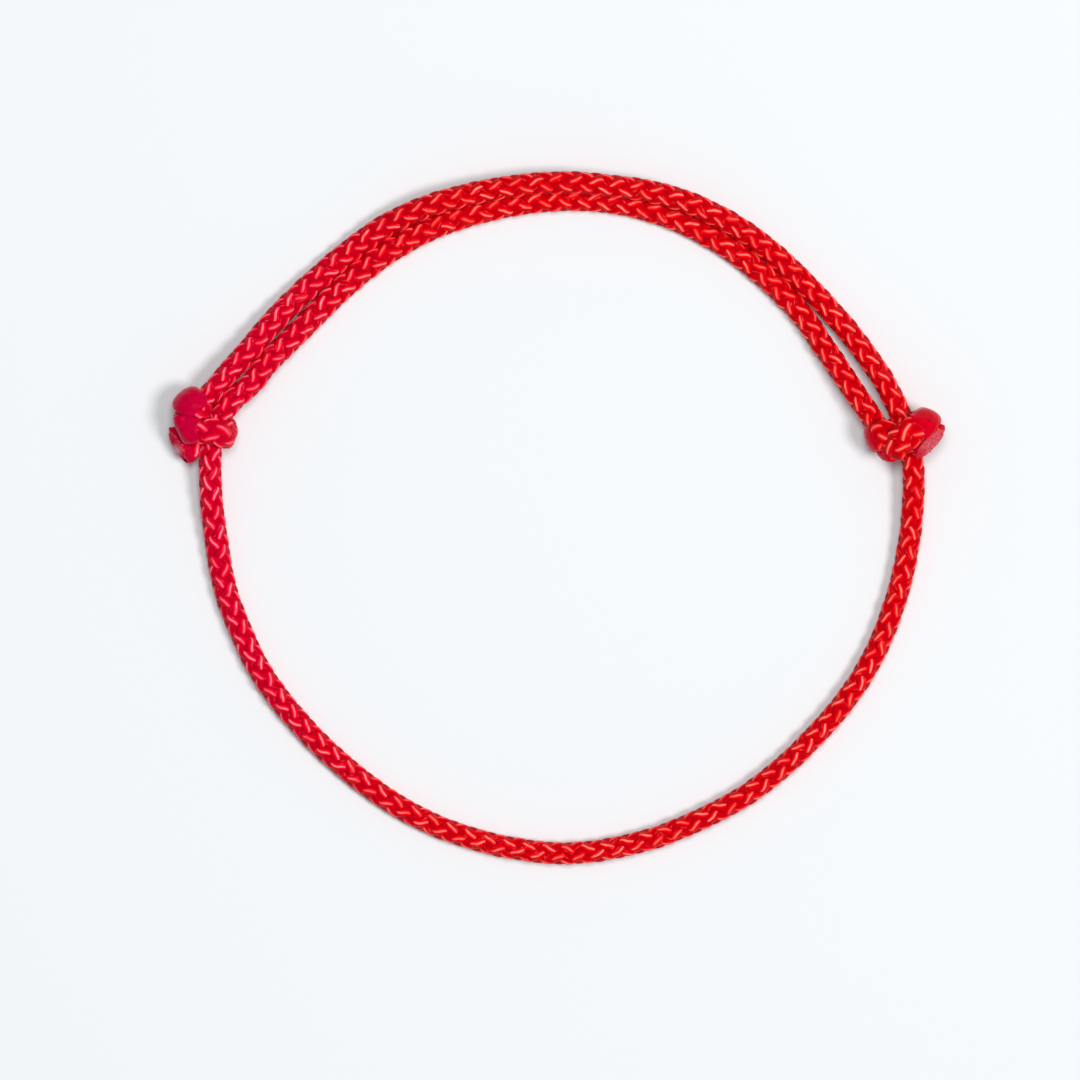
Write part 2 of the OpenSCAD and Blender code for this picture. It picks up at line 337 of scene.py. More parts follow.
@dataclass(frozen=True)
class MeltedNylon:
    """Nylon that was melted and set hard: a smooth waxy crimson skin, lit through at its edges."""

    name: str = "melted_nylon"
    crimson: str = "#c40034"
    scarlet: str = "#ca001c"
    gloss: str = "#ff5a66"
    roughness: float = 0.26
    ior: float = 1.4
    spread_mm: float = 36.0
    ripple_mm: float = 0.5
    mottle_values: Tuple[float, float] = (0.84, 1.1)
    bump_mm: float = 0.1

    def make(self) -> bpy.types.Material:
        """Make the material.

        Returns:
            The finished material.
        """
        material, tree = new_material(self.name)
        place = add_node(tree, "ShaderNodeTexCoord", {})
        axes = add_node(tree, "ShaderNodeSeparateXYZ", {0: place.outputs["Object"]})
        across = add_node(tree, "ShaderNodeMapRange", {
            "Value": axes.outputs["X"], "From Min": -self.spread_mm * MM,
            "From Max": self.spread_mm * MM})
        dye = add_node(tree, "ShaderNodeMix", {
            0: across.outputs[0], 6: linear_colour(self.crimson), 7: linear_colour(self.scarlet)},
            data_type="RGBA")
        ripples = add_node(tree, "ShaderNodeTexNoise", {
            "Vector": place.outputs["Object"], "Scale": 1 / (self.ripple_mm * MM), "Detail": 2.0})
        bump = add_node(tree, "ShaderNodeBump", {
            "Height": ripples.outputs["Fac"], "Strength": 0.5, "Distance": self.bump_mm * MM})
        mottle = add_node(tree, "ShaderNodeMapRange", {
            "Value": ripples.outputs["Fac"], "From Min": NOISE_LOW, "From Max": NOISE_HIGH,
            "To Min": self.mottle_values[0], "To Max": self.mottle_values[1]})
        mottled = add_node(tree, "ShaderNodeHueSaturation", {
            "Color": dye.outputs[2], "Value": mottle.outputs[0]})
        shader = add_node(tree, "ShaderNodeBsdfPrincipled", {
            "Base Color": mottled.outputs[0], "Roughness": self.roughness, "IOR": self.ior,
            "Subsurface Weight": 0.45, "Subsurface Radius": NYLON_DEPTHS,
            "Subsurface Scale": NYLON_DEPTH_MM * MM,
            "Specular IOR Level": 0.16, "Specular Tint": linear_colour(self.gloss),
            "Sheen Weight": 0.12, "Sheen Roughness": 0.4, "Sheen Tint": linear_colour(self.gloss),
            "Normal": bump.outputs[0]})
        add_node(tree, "ShaderNodeOutputMaterial", {"Surface": shader.outputs[0]})
        return material


@dataclass(frozen=True)
class CutFibres:
    """Cut filaments fused by heat: dull red, paler in one patch, with the filaments fanned out at the
    rim.
    """

    name: str = "cut_fibres"
    body: str = "#b5243c"
    tips: str = "#e79aa6"
    grain_mm: float = 0.14
    patch_mm: Tuple[float, float] = (0.0, 0.0)
    patch_reach_mm: float = 2.0
    patch_least: float = 0.3
    skin: str = "#c00028"
    skin_mm: Tuple[float, float] = (0.0, 0.0)
    skin_reach_mm: float = 1.0
    speck_at: Tuple[float, float] = (0.44, NOISE_HIGH)
    tick_at: Tuple[float, float] = (0.46, 0.62)
    tick_strength: float = 0.6
    tick_band: Tuple[float, float] = (0.7, 0.92)
    bump_mm: float = 0.06
    roughness: float = 0.55
    ior: float = 1.4

    def make(self) -> bpy.types.Material:
        """Make the material.

        Returns:
            The finished material.
        """
        material, tree = new_material(self.name)
        place = add_node(tree, "ShaderNodeTexCoord", {})
        grain = add_node(tree, "ShaderNodeTexNoise", {
            "Vector": place.outputs["Object"], "Scale": 1 / (self.grain_mm * MM), "Detail": 3.0,
            "Roughness": 0.65})
        specks = add_node(tree, "ShaderNodeMapRange", {
            "Value": grain.outputs["Fac"], "From Min": self.speck_at[0], "From Max": self.speck_at[1]})
        patch = self.near(tree, place, self.patch_mm, self.patch_reach_mm, self.patch_least)
        paled = add_node(tree, "ShaderNodeMath", {0: specks.outputs[0], 1: patch}, operation="MULTIPLY")
        # Around the rim the filaments lie radially, about four to a millimetre as drawn.
        rim = add_node(tree, "ShaderNodeAttribute", {}, attribute_name="rim")
        fan = add_node(tree, "ShaderNodeTexNoise", {
            "Vector": rim.outputs["Vector"], "Scale": 1.0, "Detail": 1.0})
        ticks = add_node(tree, "ShaderNodeMapRange", {
            "Value": fan.outputs["Fac"], "From Min": self.tick_at[0], "From Max": self.tick_at[1],
            "To Max": self.tick_strength})
        outer = add_node(tree, "ShaderNodeMapRange", {
            "Value": rim.outputs["Alpha"], "From Min": self.tick_band[0], "From Max": self.tick_band[1]},
            interpolation_type="SMOOTHSTEP")
        hatch = add_node(tree, "ShaderNodeMath", {0: ticks.outputs[0], 1: outer.outputs[0]},
                         operation="MULTIPLY")
        pale = add_node(tree, "ShaderNodeMath", {0: paled.outputs[0], 1: hatch.outputs[0]},
                        operation="MAXIMUM")
        fibres = add_node(tree, "ShaderNodeMix", {
            0: pale.outputs[0], 6: linear_colour(self.body), 7: linear_colour(self.tips)},
            data_type="RGBA")
        # The melt ran over the fibres at one end of the face.
        run_over = self.near(tree, place, self.skin_mm, self.skin_reach_mm, 0.0)
        colour = add_node(tree, "ShaderNodeMix", {
            0: run_over, 6: fibres.outputs[2], 7: linear_colour(self.skin)}, data_type="RGBA")
        bump = add_node(tree, "ShaderNodeBump", {
            "Height": grain.outputs["Fac"], "Strength": 0.6, "Distance": self.bump_mm * MM})
        shader = add_node(tree, "ShaderNodeBsdfPrincipled", {
            "Base Color": colour.outputs[2], "Roughness": self.roughness, "IOR": self.ior,
            "Subsurface Weight": 0.3, "Subsurface Radius": NYLON_DEPTHS,
            "Subsurface Scale": NYLON_DEPTH_MM * MM,
            "Specular IOR Level": 0.1, "Normal": bump.outputs[0]})
        add_node(tree, "ShaderNodeOutputMaterial", {"Surface": shader.outputs[0]})
        return material

    @staticmethod
    def near(tree: bpy.types.NodeTree, place: bpy.types.Node, spot_mm: Tuple[float, float],
             reach_mm: float, least: float) -> bpy.types.NodeSocket:
        """Add the nodes that tell how near a point of the face is to one spot.

        Args:
            tree: The material's node tree.
            place: The texture coordinates.
            spot_mm: The spot's x and y in millimetres.
            reach_mm: How far the spot reaches.
            least: The value beyond that.

        Returns:
            The output that is 1 at the spot and falls to the least value at its reach.
        """
        from_spot = add_node(tree, "ShaderNodeVectorMath", {
            0: place.outputs["Object"], 1: (spot_mm[0] * MM, spot_mm[1] * MM, 0.0)},
            operation="SUBTRACT")
        flat = add_node(tree, "ShaderNodeVectorMath", {
            0: from_spot.outputs[0], 1: (1.0, 1.0, 0.0)}, operation="MULTIPLY")
        away = add_node(tree, "ShaderNodeVectorMath", {0: flat.outputs[0]}, operation="LENGTH")
        nearness = add_node(tree, "ShaderNodeMapRange", {
            "Value": away.outputs["Value"], "From Min": reach_mm * MM, "From Max": 0.0,
            "To Min": least}, interpolation_type="SMOOTHSTEP")
        return nearness.outputs[0]


@dataclass(frozen=True)
class PaleBoard:
    """Coated white board: matt, very pale and faintly cool, so that the shadow reads soft and grey."""

    name: str = "pale_board"
    face: str = "#e1e2e3"

    def make(self) -> bpy.types.Material:
        """Make the material.

        Returns:
            The finished material.
        """
        material, tree = new_material(self.name)
        shader = add_node(tree, "ShaderNodeBsdfPrincipled", {
            "Base Color": linear_colour(self.face), "Roughness": 0.9, "Specular IOR Level": 0.1})
        add_node(tree, "ShaderNodeOutputMaterial", {"Surface": shader.outputs[0]})
        return material


def deselect_all() -> None:
    """Leave object mode's selection empty."""
    if bpy.context.object is not None and bpy.context.object.mode != "OBJECT":
        bpy.ops.object.mode_set(mode="OBJECT")
    bpy.ops.object.select_all(action="DESELECT")


def centripetal_curve(points: np.ndarray, per_span: int) -> np.ndarray:
    """Draw a smooth curve through points that doesn't overshoot where they are close together.

    Args:
        points: The rows to pass through, one to a line. The first three columns are a place.
        per_span: Samples for each span between two rows.

    Returns:
        The samples, with the last row at the end.
    """
    ends = np.vstack([2 * points[0] - points[1], points, 2 * points[-1] - points[-2]])
    steps = np.sqrt(np.linalg.norm(np.diff(ends[:, :3], axis=0), axis=1))
    knots = np.concatenate([[0.0], np.cumsum(np.maximum(steps, 1e-4))])
    spans = []
    for i in range(1, len(ends) - 2):
        t0, t1, t2, t3 = knots[i - 1:i + 3]
        p0, p1, p2, p3 = ends[i - 1:i + 3]
        t = np.linspace(t1, t2, per_span, endpoint=False)[:, None]
        a1 = (t1 - t) / (t1 - t0) * p0 + (t - t0) / (t1 - t0) * p1
        a2 = (t2 - t) / (t2 - t1) * p1 + (t - t1) / (t2 - t1) * p2
        a3 = (t3 - t) / (t3 - t2) * p2 + (t - t2) / (t3 - t2) * p3
        b1 = (t2 - t) / (t2 - t0) * a1 + (t - t0) / (t2 - t0) * a2
        b2 = (t3 - t) / (t3 - t1) * a2 + (t - t1) / (t3 - t1) * a3
        spans.append((t2 - t) / (t2 - t1) * b1 + (t - t1) / (t2 - t1) * b2)
    return np.vstack(spans + [points[-1:]])


def slack_wide(places: np.ndarray) -> np.ndarray:
    """Say how wide the soft cord lies, which flattens most where the loop is slack and on the ground.

    Args:
        places: The strand's rows of x, y and lift.

    Returns:
        The cord's wide side at each row, in millimetres.
    """
    way = np.arctan2(places[:, 1], places[:, 0])
    share = (1 + np.cos(way - math.radians(SLACK_WAY))) / 2
    share *= 1 - RIDING_ROUND * np.minimum(1, places[:, 2] / RIDING_LIFT)
    return LEAST_WIDE + (FULL_WIDE - LEAST_WIDE) * share


def rows_of(route: Route) -> np.ndarray:
    """Turn a route's rows into x, y, middle height, wide side and the way it points as a vector.

    Args:
        route: A strand's or a knot's route.

    Returns:
        One line for each row, of six columns, in millimetres.
    """
    flat = np.array([row[:3] for row in route], float)
    if len(route[0]) > 3:
        wide = np.array([row[3] for row in route], float)
        turn = np.radians([row[4] for row in route])
        side = np.stack([np.cos(turn), np.sin(turn)], axis=1)
    else:
        wide = slack_wide(flat)
        run = np.gradient(flat[:, :2], axis=0)
        run /= np.linalg.norm(run, axis=1)[:, None]
        side = np.stack([-run[:, 1], run[:, 0]], axis=1)
    flat[:, 2] += CORD_D * CORD_D / wide / 2
    return np.column_stack([flat, wide, side])


@dataclass
class CordPath:
    """The one cord from cut end to cut end, with its cross-section's frame at each place along it."""

    spacing: float = 0.1
    run_on: float = 2.0
    per_span: int = 40
    smooth_reach: int = 5
    seams: Tuple[float, ...] = field(init=False)
    places: np.ndarray = field(init=False)
    tangents: np.ndarray = field(init=False)
    normals: np.ndarray = field(init=False)
    sides: np.ndarray = field(init=False)
    wides: np.ndarray = field(init=False)

    def __post_init__(self) -> None:
        """Lay the stretches end to end, smooth them and work out the frames."""
        stretches = [
            rows_of(LEFT_KNOT_ROUTE)[::-1],
            rows_of(OUTER_ROUTE)[::-1],
            rows_of(LOWER_ROUTE)[::-1],
            rows_of(INNER_ROUTE),
            rows_of(RIGHT_KNOT_ROUTE)]
        rows = stretches[0]
        seam_rows = [0, len(rows) - 1]
        for stretch in stretches[1:]:
            rows = np.vstack([rows, stretch[1:]])
            seam_rows.append(len(rows) - 1)
        for i in range(1, len(rows)):
            if rows[i, 4:6] @ rows[i - 1, 4:6] < 0:
                rows[i, 4:6] *= -1
        # The path runs on past both cut ends, where the trimmed yarns may reach.
        first, last = rows[:1].copy(), rows[-1:].copy()
        first[0, :3] += self.run_on * self.unit(rows[0, :3] - rows[1, :3])
        last[0, :3] += self.run_on * self.unit(rows[-1, :3] - rows[-2, :3])
        rows = np.vstack([first, rows, last])
        fine = centripetal_curve(rows, self.per_span)
        reach = np.concatenate([[0.0], np.cumsum(np.linalg.norm(np.diff(fine[:, :3], axis=0), axis=1))])
        self.seams = tuple(reach[(row + 1) * self.per_span] for row in seam_rows)
        count = int(reach[-1] / self.spacing)
        along = np.linspace(0, reach[-1], count + 1)
        self.spacing = along[1]
        even = np.column_stack([np.interp(along, reach, fine[:, c]) for c in range(fine.shape[1])])
        even = self.smoothed(even, self.smooth_reach)
        self.places = even[:, :3]
        self.wides = even[:, 3]
        run = np.gradient(self.places, axis=0)
        self.tangents = run / np.linalg.norm(run, axis=1)[:, None]
        side = np.column_stack([even[:, 4:6], np.zeros(len(even))])
        side -= np.sum(side * self.tangents, axis=1)[:, None] * self.tangents
        self.sides = side / np.linalg.norm(side, axis=1)[:, None]
        self.normals = self.carried_normals()

    @staticmethod
    def unit(v: np.ndarray) -> np.ndarray:
        """Return v at length one."""
        return v / np.linalg.norm(v)

    @staticmethod
    def smoothed(values: np.ndarray, reach: int) -> np.ndarray:
        """Average each line with its neighbours.

        Args:
            values: One line for each place.
            reach: Neighbours on each side.

        Returns:
            The averaged lines, as many as before.
        """
        weights = np.hanning(2 * reach + 3)[1:-1]
        weights /= weights.sum()
        padded = np.pad(values, ((reach, reach), (0, 0)), mode="reflect", reflect_type="odd")
        return np.column_stack([np.convolve(padded[:, c], weights, mode="valid")
                                for c in range(values.shape[1])])

    def carried_normals(self) -> np.ndarray:
        """Carry one normal along the path without twisting it.

        Returns:
            A unit normal at each place.
        """
        normals = np.zeros_like(self.places)
        normal = np.cross(self.tangents[0], (0.0, 0.0, 1.0))
        for i, tangent in enumerate(self.tangents):
            normal = self.unit(normal - (normal @ tangent) * tangent)
            normals[i] = normal
        return normals

    def line(self, begin: float, end: float, step: float = 1.0) -> np.ndarray:
        """Return the cord's middle line between two lengths, in metres.

        Args:
            begin: Length along the cord where the line starts, in millimetres.
            end: Length where it ends.
            step: About how far apart its points are.

        Returns:
            The points, one to a line.
        """
        along = np.linspace(begin, end, max(2, int(round((end - begin) / step)) + 1))
        at = along / self.spacing
        index = np.arange(len(self.places))
        return np.column_stack([np.interp(at, index, self.places[:, c]) for c in range(3)]) * MM

    def place(self, x: np.ndarray, y: np.ndarray, along: np.ndarray) -> np.ndarray:
        """Move points from a straight round cord to the bent and flattened one.

        Args:
            x: Distance from the middle line along the carried normal, in millimetres.
            y: Distance across it.
            along: Length along the cord.

        Returns:
            Points in millimetres, one to a line.
        """
        # Just short of the last sample, so that each place has a next one.
        at = np.clip(along / self.spacing, 0, len(self.places) - 1.001)
        low = at.astype(int)
        share = at - low

        def between(rows: np.ndarray) -> np.ndarray:
            """Return what the rows say at the lengths, each between two samples."""
            part = share[:, None] if rows.ndim > 1 else share
            return rows[low] * (1 - part) + rows[low + 1] * part

        middle, tangent, side = between(self.places), between(self.tangents), between(self.sides)
        normal, wide = between(self.normals), between(self.wides)
        other = np.cross(tangent, normal)
        upward = np.cross(tangent, side)
        offset = x[:, None] * normal + y[:, None] * other
        stretch = wide / CORD_D
        sideways = np.sum(offset * side, axis=1) * stretch
        upwards = np.sum(offset * upward, axis=1) / stretch
        points = middle + sideways[:, None] * side + upwards[:, None] * upward
        points[:, 2] = np.maximum(points[:, 2], 0.0)
        return points


@dataclass
class Braid:
    """Eight yarns, four each way, each going over one and under one, round a filled middle."""

    yarns_each_way: int = 4
    pitch: float = 8.0
    crest_over: float = 1.15
    shoulder: float = -0.06
    shoulder_share: float = 0.55
    crest_under: float = 0.56
    thick_over: float = 0.5
    thick_under: float = 0.28
    belly: float = 0.12
    yarn_wide: float = 1.24
    dive: float = 2.6
    float_long: float = 0.42
    slope_kept: float = 0.4
    # A float's painted glint leans, wanders and waves across it, thins to its ends, and is long or short
    # by luck
    glint_lean: float = 0.3
    glint_stray: float = 0.14
    glint_wave: float = 0.042
    glint_waves: Tuple[float, float] = (6.5, 6)
    glint_thinning: float = 1.2
    glint_shortening: Tuple[float, float] = (1.25, 0.4)
    # Each beat of the yarns' wandering: radians to a millimetre, and radians from yarn to yarn
    sway: float = 0.045
    sway_beats: Tuple[Tuple[float, float], ...] = ((0.86, 2.1), (1.31, 1.3))
    swell: float = 0.025
    swell_beat: Tuple[float, float] = (1.17, 1.7)
    # Factors of the usual sine hash, for the place, the yarn and its turn, and the last one
    luck_factors: Tuple[float, float, float, float] = (12.9898, 78.233, 37.7, 43758.5453)
    press: float = 0.14
    core: float = 0.5
    ridge_corners: int = 9
    corners: int = 12
    ring_steps: Tuple[float, ...] = (0.0, 0.18, 0.34, 0.46, 0.56, 0.64, 0.72, 0.84)
    least_ring_gap: float = 0.05
    core_ring_gap: float = 0.4

    @property
    def period(self) -> float:
        """Return the length of cord between two floats of one column."""
        return self.pitch / self.yarns_each_way

    def first_float(self, turn: YarnTurn) -> float:
        """Return where on the cord the middle of a yarn's first float is."""
        return 0.0 if turn is YarnTurn.RIGHT_HAND else self.period / 2

    def ring_places(self, begin: float, end: float, turn: YarnTurn) -> np.ndarray:
        """Choose where a yarn's rings go, closer together where it dives.

        Args:
            begin: Length along the cord where the yarn starts, in millimetres.
            end: Length where it ends.
            turn: The way that it winds.

        Returns:
            Rising lengths from begin to end.
        """
        half = self.period / 2
        middle = self.first_float(turn)
        steps = np.array(self.ring_steps) * half
        pattern = np.concatenate([-steps[:0:-1], steps, [half]])
        first = math.floor((begin - middle) / self.period) - 1
        last = math.ceil((end - middle) / self.period) + 1
        every = (np.arange(first, last + 1)[:, None] * self.period + middle + pattern[None, :]).ravel()
        inner = every[(every > begin + self.least_ring_gap) & (every < end - self.least_ring_gap)]
        return np.concatenate([[begin], inner, [end]])

    def from_float(self, along: np.ndarray, turn: YarnTurn) -> np.ndarray:
        """Return how far each length is from the middle of the yarn's nearest float."""
        return (along - self.first_float(turn) + self.period / 2) % self.period - self.period / 2

    def lift(self, away: np.ndarray) -> np.ndarray:
        """Say how far up a yarn lies as it goes over and under.

        Args:
            away: Distance from the middle of its nearest float, in millimetres.

        Returns:
            From 0, under, to 1, over.
        """
        wave = np.cos(2 * math.pi * away / self.period)
        low = math.tanh(self.dive * (self.float_long - 1))
        high = math.tanh(self.dive * (self.float_long + 1))
        return (np.tanh(self.dive * (wave + self.float_long)) - low) / (high - low)

    def yarn_rings(self, number: int, turn: YarnTurn,
                   along: np.ndarray) -> Tuple[np.ndarray, np.ndarray, np.ndarray]:
        """Shape one yarn on a straight cord.

        Args:
            number: Which of the yarns that wind this way.
            turn: The way it winds.
            along: Lengths along the cord, one for each ring.

        Returns:
            The rings' points as rings by corners by three, how far out each point lies from 0 to 1, and
            its place on the float, across and along in millimetres, with the float's own number.
        """
        first = 2 * math.pi * number / self.yarns_each_way
        nudge = 0.02

        def middle(s: np.ndarray) -> Tuple[np.ndarray, np.ndarray, np.ndarray]:
            """Place the yarn's base line.

            Args:
                s: Lengths along the cord.

            Returns:
                The line's points, the way outwards from the cord and how far up the yarn lies there.
            """
            angle = first + turn.value * 2 * math.pi * s / self.pitch
            # A hand-pulled cord isn't even: its yarns wander and swell, each in its own beat.
            angle = angle + self.sway * sum(np.sin(beat * s + shift * number)
                                            for beat, shift in self.sway_beats)
            away = self.from_float(s, turn)
            lift = self.lift(away)
            off_crest = np.minimum(1, (away / (self.shoulder_share * self.period / 2)) ** 2)
            crest = self.crest_over + self.shoulder * off_crest
            beat, shift = self.swell_beat
            crest = crest + self.swell * np.sin(beat * s + shift * number + turn.value)
            low = self.crest_under - self.thick_under
            base = low + lift * (crest - self.thick_over - low)
            outward = np.stack([np.cos(angle), np.sin(angle), np.zeros_like(s)], axis=1)
            line = outward * base[:, None]
            line[:, 2] = s
            return line, outward, lift

        centre, outward, lift = middle(along)
        run = middle(along + nudge)[0] - middle(along - nudge)[0]
        radial = np.sum(run * outward, axis=1)[:, None] * outward
        run -= (1 - self.slope_kept) * radial
        run /= np.linalg.norm(run, axis=1)[:, None]
        outward = outward - np.sum(outward * run, axis=1)[:, None] * run
        outward /= np.linalg.norm(outward, axis=1)[:, None]
        wide_way = np.cross(outward, run)
        ridge = np.linspace(0, np.pi, self.ridge_corners)
        under = np.linspace(np.pi, 2 * np.pi, self.corners - self.ridge_corners + 2)[1:-1]
        theta = np.concatenate([ridge, under])
        width = np.cos(theta) * self.yarn_wide / 2
        thick = self.thick_under + lift * (self.thick_over - self.thick_under)
        height = np.where(theta[None, :] <= np.pi + 1e-9,
                          thick[:, None] * np.sin(theta)[None, :],
                          self.belly * np.sin(theta)[None, :])
        rings = (centre[:, None, :] + width[None, :, None] * wide_way[:, None, :]
                 + height[:, :, None] * outward[:, None, :])
        rise = np.hypot(rings[:, :, 0], rings[:, :, 1]) / (CORD_D / 2)
        away = self.from_float(along, turn)[:, None] * np.ones_like(rise)
        luck = self.float_luck(along, number, turn)[:, None] * np.ones_like(rise)
        across = width[None, :] - turn.value * self.glint_lean * away + self.glint_stray * (luck - 0.5)
        beat, shift = self.glint_waves
        across = across + self.glint_wave * np.sin(beat * away + shift * luck)
        across = across * (1 + self.glint_thinning * away ** 2)
        longest, by_luck = self.glint_shortening
        return rings, rise, np.stack([across, away * (longest - by_luck * luck), luck], axis=2)

    def float_luck(self, along: np.ndarray, number: int, turn: YarnTurn) -> np.ndarray:
        """Give each float a number of its own, the same in every run.

        Args:
            along: Lengths along the cord.
            number: Which of the yarns that wind this way.
            turn: The way it winds.

        Returns:
            For each length its float's number, from 0 to 1.
        """
        index = np.floor((along - self.first_float(turn) + self.period / 2) / self.period)
        by_place, by_yarn, by_turn, last = self.luck_factors
        wave = np.sin(by_place * index + by_yarn * number + by_turn * turn.value)
        return np.modf(np.abs(wave) * last)[0]

    def core_rings(self, along: np.ndarray) -> Tuple[np.ndarray, np.ndarray, np.ndarray]:
        """Shape the filled middle of a straight cord.

        Args:
            along: Lengths along the cord, one for each ring.

        Returns:
            The same as yarn_rings gives, with every point off any float.
        """
        theta = 2 * np.pi * np.arange(self.corners) / self.corners
        ring = np.stack(
            [self.core * np.cos(theta), self.core * np.sin(theta), np.zeros_like(theta)], axis=1)
        rings = ring[None, :, :] + np.stack(
            [np.zeros_like(along), np.zeros_like(along), along], axis=1)[:, None, :]
        flat = rings.shape[:2]
        return rings, np.full(flat, self.core / (CORD_D / 2)), np.full(flat + (3,), OFF_FLOAT)

    def pressed_in(self, path: CordPath, points: np.ndarray,
                   melted: "Sequence[MeltedPatch]") -> np.ndarray:
        """Say how far the yarns sink where they ran together.

        Args:
            path: The cord's path.
            points: Points on the straight cord, one to a line.
            melted: The melted patches over them.

        Returns:
            For each point, what its distance from the cord's middle is multiplied by.
        """
        share = np.zeros(len(points))
        for patch in melted:
            share = np.maximum(share, patch.cover(path, points))
        return 1 - self.press * share

    def mesh(self, name: str, path: CordPath, begin: float, end: float,
             cut: "Union[CutPlane, None]" = None,
             melted: "Sequence[MeltedPatch]" = ()) -> bpy.types.Object:
        """Make the braided cord between two lengths as one mesh of closed yarns.

        Args:
            name: The object's name.
            path: The cord's path.
            begin: Length along the cord where it starts, in millimetres.
            end: Length where it ends.
            cut: The plane that trims one end, if that end is cut.
            melted: The melted patches over it.

        Returns:
            The object, at the origin.
        """
        shapes = [self.yarn_rings(i, turn, self.ring_places(begin, end, turn))
                  for turn in YarnTurn for i in range(self.yarns_each_way)]
        core_rings = max(4, int((end - begin) / self.core_ring_gap))
        shapes.append(self.core_rings(np.linspace(begin, end, core_rings)))
        builder = TubeBuilder()
        for rings, rise, on_float in shapes:
            flat = rings.reshape(-1, 3)
            flat[:, :2] *= self.pressed_in(path, flat, melted)[:, None]
            lengths = flat[:, 2] if cut is None else cut.trimmed(path, flat)
            points = path.place(flat[:, 0], flat[:, 1], lengths) * MM
            builder.add(points.reshape(rings.shape), rise, on_float, rings[:, 0, 2] - begin)
        return builder.build(name)


@dataclass
class CutPlane:
    """The slanted face where the cord was cut and melted.

    The yarns' ends are moved into its plane in a few rounds of Newton's method, in millimetres.
    """

    middle: np.ndarray
    outward: np.ndarray
    at: float
    fade: float = 3.0
    rounds: int = 6
    probe: float = 0.05
    least_slope: float = 0.2
    longest_stride: float = 0.5
    farthest: float = 1.7

    def trimmed(self, path: CordPath, points: np.ndarray) -> np.ndarray:
        """Slide points along the cord so that its end lies in the plane.

        Args:
            path: The cord's path.
            points: Points on the straight cord, one to a line.

        Returns:
            Their new lengths along the cord.
        """
        away = points[:, 2] - self.at
        near = np.abs(away) < self.fade
        lengths = points[:, 2].copy()
        x, y = points[near, 0], points[near, 1]
        root = np.full(len(x), self.at)
        for _ in range(self.rounds):
            gap = (path.place(x, y, root) - self.middle) @ self.outward
            next_gap = (path.place(x, y, root + self.probe) - self.middle) @ self.outward
            slope = (next_gap - gap) / self.probe
            level = np.abs(slope) < self.least_slope
            slope = np.where(level, self.least_slope * np.sign(slope + 1e-9), slope)
            root -= np.clip(gap / slope, -self.longest_stride, self.longest_stride)
        root = np.clip(root, self.at - self.farthest, self.at + self.farthest)
        share = 1 - np.abs(away[near]) / self.fade
        lengths[near] += (root - self.at) * share
        return lengths


@dataclass
class TubeBuilder:
    """Gathers closed tubes of rings into one mesh, with a map along each tube."""

    points: list = field(default_factory=list)
    rises: list = field(default_factory=list)
    floats: list = field(default_factory=list)
    faces: list = field(default_factory=list)
    maps: list = field(default_factory=list)
    count: int = 0

    def add(self, rings: np.ndarray, rise: np.ndarray, on_float: np.ndarray, along: np.ndarray) -> None:
        """Add one tube.

        Args:
            rings: Points as rings by corners by three, in metres, each ring counterclockwise seen from
                the tube's far end.
            rise: How far out each point lies in the braid.
            on_float: Each point's place on its float, across and along in millimetres, and the float's
                own number.
            along: Length at each ring in millimetres, for the map.
        """
        turns, corners = rings.shape[:2]
        near = np.arange(turns - 1)[:, None] * corners + np.arange(corners)[None, :]
        after = np.arange(turns - 1)[:, None] * corners + (np.arange(corners)[None, :] + 1) % corners
        quads = np.stack([near, after, after + corners, near + corners], axis=2)
        quads = quads.reshape(-1, 4) + self.count
        u = np.arange(corners)[None, :] / corners * np.ones((turns - 1, 1))
        low = along[:-1, None] * np.ones((1, corners))
        high = along[1:, None] * np.ones((1, corners))
        step = 1 / corners
        quad_map = np.stack([
            np.stack([u, low], axis=2), np.stack([u + step, low], axis=2),
            np.stack([u + step, high], axis=2), np.stack([u, high], axis=2)], axis=2)
        self.faces += quads.tolist()
        self.maps.append(quad_map.reshape(-1, 2))
        first = self.count
        last = self.count + (turns - 1) * corners
        self.faces.append([first + k for k in range(corners - 1, -1, -1)])
        self.faces.append([last + k for k in range(corners)])
        self.maps.append(np.array([(k / corners, along[0]) for k in range(corners - 1, -1, -1)]))
        self.maps.append(np.array([(k / corners, along[-1]) for k in range(corners)]))
        self.points.append(rings.reshape(-1, 3))
        self.rises.append(rise.reshape(-1))
        self.floats.append(on_float.reshape(-1, 3))
        self.count += turns * corners

    def build(self, name: str) -> bpy.types.Object:
        """Make the mesh object.

        Args:
            name: The object's name.

        Returns:
            The object, linked to the scene and shaded smooth.
        """
        mesh = bpy.data.meshes.new(name)
        mesh.from_pydata(np.vstack(self.points).tolist(), [], self.faces)
        layer = mesh.uv_layers.new(name="yarn")
        layer.data.foreach_set("uv", np.vstack(self.maps).astype(np.float32).reshape(-1))
        attribute = mesh.attributes.new("rise", "FLOAT", "POINT")
        attribute.data.foreach_set("value", np.concatenate(self.rises).astype(np.float32))
        attribute = mesh.attributes.new("on_float", "FLOAT_VECTOR", "POINT")
        attribute.data.foreach_set("vector", np.vstack(self.floats).astype(np.float32).reshape(-1))
        mesh.shade_smooth()
        mesh.update()
        made = bpy.data.objects.new(name, mesh)
        bpy.context.scene.collection.objects.link(made)
        return made


def dress(piece: bpy.types.Object, material: bpy.types.Material, slot: str, *nodes: str) -> None:
    """Give a piece its finish and place in the model.

    Args:
        piece: The finished object.
        material: Its finish.
        slot: Not used.
        *nodes: The CAD nodes that it stands for.
    """
    piece.data.materials.clear()
    piece.data.materials.append(material)
    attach(piece, ROOT)
    if nodes:
        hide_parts(*nodes)


